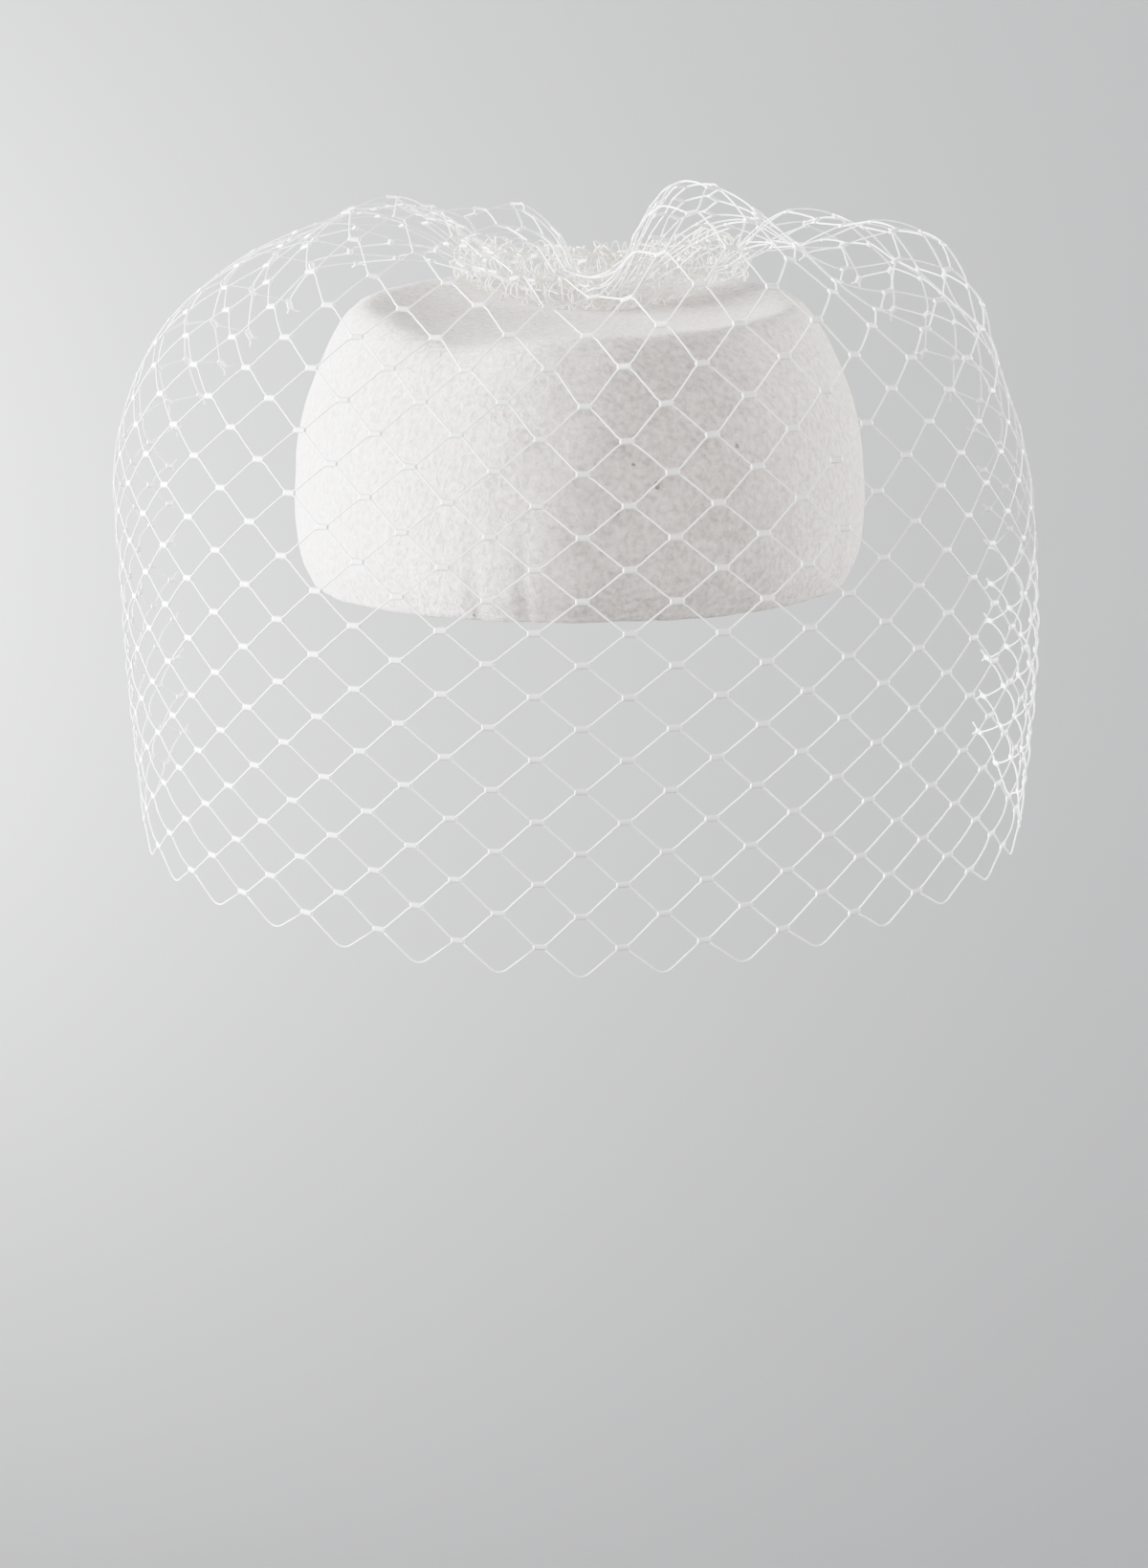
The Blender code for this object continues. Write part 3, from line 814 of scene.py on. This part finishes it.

# The net's top edge is drawn up on a thread to a fifth of its width and tacked to the tip in a
# shallow curve. Two rows of cells stand up above the thread and curl over backwards. Their net is
# coloured darker and creamier than the veil: this is painted shade, warm-toned, for the shade that
# falls between threads lying so close together.
GATHER_COLUMNS = 64
GATHER_ROWS = 4
# From the thread to the curled edge: how far back and how far up, in metres.
GATHER_PATH = ((0.0, 0.0012), (-0.0025, 0.0090), (0.0005, 0.0165), (0.0080, 0.0180), (0.0120, 0.0100))
GATHER_FOLDS = 15
GATHER_FOLD = 0.0042
GATHER_UNEVEN = 0.0030
GATHER_END_HEIGHT = 0.6
GATHER_FELT_GAP = 0.0008
GATHER_SHARES = (0.0, 0.08, 0.18, 0.29, 0.40, 0.5, 0.60, 0.71, 0.82, 0.92, 1.0)
chance = np.random.default_rng(11)
gather_number = -np.ones((GATHER_COLUMNS + 1, GATHER_ROWS + 1), int)
standing = np.add.outer(np.arange(GATHER_COLUMNS + 1), np.arange(GATHER_ROWS + 1)) % 2 == 0
gather_column, gather_row = np.nonzero(standing)
gather_number[standing] = np.arange(len(gather_row))
gather_turn = 2.0 * gather_column / GATHER_COLUMNS - 1.0
gather_share = gather_row / GATHER_ROWS
foot = np.array([seam_place(turn) for turn in gather_turn])
ahead = np.array([seam_place(turn + 0.01) - seam_place(turn - 0.01) for turn in gather_turn])
ahead[:, 2] = 0.0
ahead /= np.linalg.norm(ahead, axis=1)[:, None]
back = np.stack((-ahead[:, 1], ahead[:, 0], np.zeros(len(ahead))), axis=1)
path = np.array(GATHER_PATH)
path_share = np.linspace(0.0, 1.0, len(path))
fold = 2.0 * math.pi * GATHER_FOLDS * gather_column / GATHER_COLUMNS
sway = GATHER_FOLD * gather_share**0.6
away = np.interp(gather_share, path_share, path[:, 0]) + sway * np.cos(fold)
gathers = foot + away[:, None] * back + (sway * np.sin(fold))[:, None] * ahead
stand = 1.0 - (1.0 - GATHER_END_HEIGHT) * gather_turn**2
gathers[:, 2] += stand * np.interp(gather_share, path_share, path[:, 1])
gathers += GATHER_UNEVEN * gather_share[:, None] * chance.uniform(-1.0, 1.0, gathers.shape)
gathers = keep_off_felt(gathers, GATHER_FELT_GAP)
gather_strands = net_pairs(gather_number, ((1, 1), (1, -1)))
across, upward, outward = net_axes(gathers, gather_strands, gather_row)
lines = []
for left, right in gather_strands:
    corner = KNOT_CORNER if gather_row[right] > gather_row[left] else -KNOT_CORNER
    start = gathers[left] + KNOT_HOLD * across[left] + corner * upward[left]
    end = gathers[right] - KNOT_HOLD * across[right] - corner * upward[right]
    bulge = outward[left] + outward[right] + chance.uniform(-1.2, 1.2, 3)
    ways, outs = (across[left], across[right]), (outward[left], outward[right])
    line = strand_curve(start, end, ways, outs, bulge, STRAND_FREE, GATHER_SHARES)
    lines.append(keep_off_felt(line, THREAD))
gather_threads = tubes("gather_threads", lines, THREAD)
# Painted shade: a darker, creamier copy of the ivory net for the packed gather; its knots use it too.
gather_shade_cream, shader = new_material("cream_net_painted_shade", (0.90, 0.88, 0.80), 0.45)
tree = gather_shade_cream.node_tree
place = tree.nodes.new("ShaderNodeTexCoord").outputs["Object"]
cream_noise = add_noise(tree, place, 700.0, 3.0)
gather_shade_stops = ((0.3, (0.80, 0.755, 0.62)), (0.7, (0.94, 0.915, 0.83)))
gather_shade_tone = add_ramp(tree, cream_noise.outputs["Fac"], gather_shade_stops)
tree.links.new(gather_shade_tone.outputs["Color"], shader.inputs["Base Color"])
shader.inputs["Sheen Weight"].default_value = 0.2
gather_threads.data.materials.append(gather_shade_cream)
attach(gather_threads, "root")
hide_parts("veil_gather")
bound = gather_row > 0
gather_knots = copies_of(one_knot, "gather_knots", gathers[bound], across[bound], outward[bound])
gather_knots.data.materials.append(gather_shade_cream)
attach(gather_knots, "root")
bpy.data.objects.remove(one_knot, do_unlink=True)

# White sewing thread: the gathering thread runs in and out of the net along its foot, and short
# tacks across it catch the net to the felt every 7 mm.
SEWING_THREAD = 0.0004
GATHER_STITCH = 0.0036
TACKS = 14
TACK_HALF_LENGTH = 0.0022
TACK_RISE = 0.0024


def seam_frame(turn):
    """A point on the felt under the seam, with the ways along the seam and across it."""
    along = seam_place(turn + 0.01) - seam_place(turn - 0.01)
    along /= np.linalg.norm(along)
    side = np.array((-along[1], along[0], 0.0))
    return seam_place(turn), along, side / np.linalg.norm(side)


seam_length = 2.0 * SEAM_HALF_LENGTH * CROWN_HALF_WIDTH
stitch_points = 8 * round(seam_length / GATHER_STITCH)
running = []
for turn in np.linspace(-1.0, 1.0, stitch_points):
    spot, along, side = seam_frame(turn)
    swing = math.pi * seam_length * turn / GATHER_STITCH
    running.append(spot + 0.0007 * math.sin(swing) * side + (0.0, 0.0, 0.0013 + 0.0008 * math.cos(swing)))
lines = [np.array(running)]
for turn in np.linspace(-0.98, 0.98, TACKS):
    spot, along, side = seam_frame(turn)
    arc = []
    for around in np.linspace(0.0, math.pi, 10):
        rise = (0.0, 0.0, TACK_RISE * math.sin(around) - 0.0004)
        reach = 0.0008 * along - TACK_HALF_LENGTH * side
        arc.append(spot + math.cos(around) * reach + rise)
    lines.append(np.array(arc))
tack_stitches = tubes("tack_stitches", lines, SEWING_THREAD)
sewing, shader = new_material("white_sewing_thread", (0.93, 0.93, 0.92), 0.5)
tree = sewing.node_tree
place = tree.nodes.new("ShaderNodeTexCoord").outputs["Object"]
twist_noise = add_noise(tree, place, 2200.0, 2.0)
twist_stops = ((0.35, (0.80, 0.80, 0.79)), (0.6, (0.97, 0.97, 0.96)))
twist_tone = add_ramp(tree, twist_noise.outputs["Fac"], twist_stops)
tree.links.new(twist_tone.outputs["Color"], shader.inputs["Base Color"])
tack_stitches.data.materials.append(sewing)
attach(tack_stitches, "root")

# The same thread holds the turned edge up inside the hat: small slanting stitches run from the
# face of the turned felt over its upper edge into the wall, about 5 mm apart.
EDGE_STITCHES = 108
EDGE_STITCH_FOOT = 0.0022
EDGE_STITCH_HEAD = 0.0018
EDGE_STITCH_SLANT = 0.0016
EDGE_STITCH_LIFT = 0.0003


def inside_felt(around, height):
    """The point where a level line from the hat's middle meets the felt, and its way out."""
    way = Vector((CROWN_HALF_WIDTH * math.sin(around), -CROWN_HALF_DEPTH * math.cos(around), 0.0))
    way.normalize()
    point = crown.ray_cast(Vector((0.0, 0.0, height)), way)[1]
    return np.array(point), np.array(way)


lines = []
for number in range(EDGE_STITCHES):
    around = 2.0 * math.pi * (number + 0.2 * math.sin(1.7 * number)) / EDGE_STITCHES
    edge = RIM_TURN * (1.0 - CROWN_TILT / CROWN_HEIGHT * math.cos(around))
    slant = EDGE_STITCH_SLANT / CROWN_HALF_DEPTH
    foot, foot_way = inside_felt(around, edge - EDGE_STITCH_FOOT)
    head, head_way = inside_felt(around + slant, edge + EDGE_STITCH_HEAD)
    corner = foot + (head - foot) * (1.0, 1.0, 0.0) * 0.15 - EDGE_STITCH_LIFT * foot_way
    corner[2] = edge + EDGE_STITCH_LIFT
    lines.append(np.array((
        foot + EDGE_STITCH_LIFT * foot_way,
        foot - EDGE_STITCH_LIFT * foot_way,
        0.5 * (foot + corner) - 0.6 * EDGE_STITCH_LIFT * foot_way,
        corner,
        head - EDGE_STITCH_LIFT * head_way,
        head + EDGE_STITCH_LIFT * head_way,
    )))
edge_stitches = tubes("edge_stitches", lines, SEWING_THREAD)
edge_stitches.data.materials.append(sewing)
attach(edge_stitches, "root")
